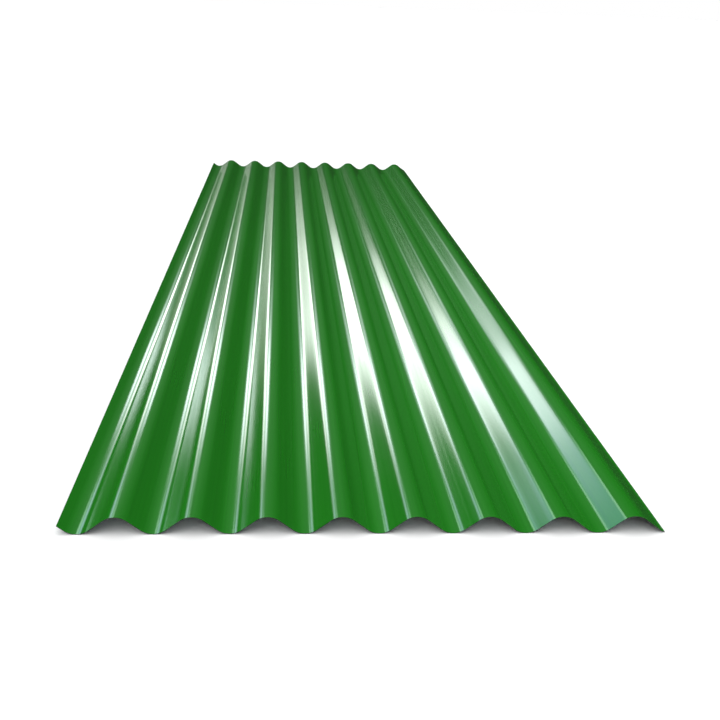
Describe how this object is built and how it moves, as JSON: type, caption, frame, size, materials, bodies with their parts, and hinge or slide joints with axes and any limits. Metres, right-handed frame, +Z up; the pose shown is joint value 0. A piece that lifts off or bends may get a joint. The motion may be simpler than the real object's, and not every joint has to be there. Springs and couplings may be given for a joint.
{
  "type": "corrugated metal sheet",
  "caption": "Long roll-formed steel sheet with round corrugations, green coated on top, one side edge turned up and the other down for lapping; for roofs and walls.",
  "frame": {"origin": "under the middle of the sheet, level with the undersides of the valleys it lies on", "axes": "+Y along the corrugations, +X across them towards the down-turned edge, +Z up, from the backing side to the coated side"},
  "size_m": [0.6238, 2.44, 0.0188],
  "materials": {
    "green_coating": "gloss"
  },
  "bodies": {
    "root": {"corrugated_sheet": "green_coating"}
  },
  "joints": []
}
